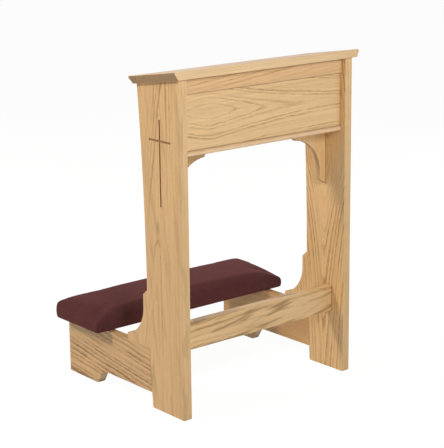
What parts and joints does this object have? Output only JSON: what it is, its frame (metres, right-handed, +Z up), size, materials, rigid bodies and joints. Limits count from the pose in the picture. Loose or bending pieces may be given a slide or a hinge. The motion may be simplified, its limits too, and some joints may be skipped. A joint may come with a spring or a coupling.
{
  "type": "prie-dieu kneeler desk",
  "caption": "Oak prie-dieu with a sloping book rest, a closed front panel over an open book shelf, shaped uprights and a burgundy padded kneeling board on two runners.",
  "frame": {"origin": "on the floor under the middle of the overall box", "axes": "+X to the right as seen from the closed front, +Y from that front to the kneeling pad, +Z up"},
  "size_m": [0.68, 0.5427, 0.9204],
  "materials": {
    "oak": "light oak with a cathedral grain under a clear satin lacquer",
    "beech": "plain beech dowel, not finished",
    "plywood": "plywood with bare edges",
    "burgundy_fabric": "matte woven upholstery in burgundy",
    "foam": "open-cell foam",
    "black_cloth": "thin non-woven dust cloth",
    "zinc_steel": "zinc plated"
  },
  "bodies": {
    "root": {"left_upright": "oak", "right_upright": "oak", "left_runner": "oak", "right_runner": "oak", "top_board": "oak", "upper_rail": "oak", "front_panel": "oak", "book_shelf": "oak", "left_bracket": "oak", "right_bracket": "oak", "stretcher": "oak", "left_batten": "oak", "right_batten": "oak", "left_cleat": "oak", "right_cleat": "oak", "stretcher_dowels": "beech", "runner_dowels": "beech", "panel_dowels": "beech", "shelf_dowels": "beech", "bracket_dowels": "beech", "kneeler_board": "plywood", "kneeler_cover": "burgundy_fabric", "kneeler_foam": "foam", "dust_cover": "black_cloth", "batten_screws": "zinc_steel", "top_screws": "zinc_steel", "cleat_screws": "zinc_steel", "pad_screws": "zinc_steel", "cover_staples": "zinc_steel"}
  },
  "joints": []
}
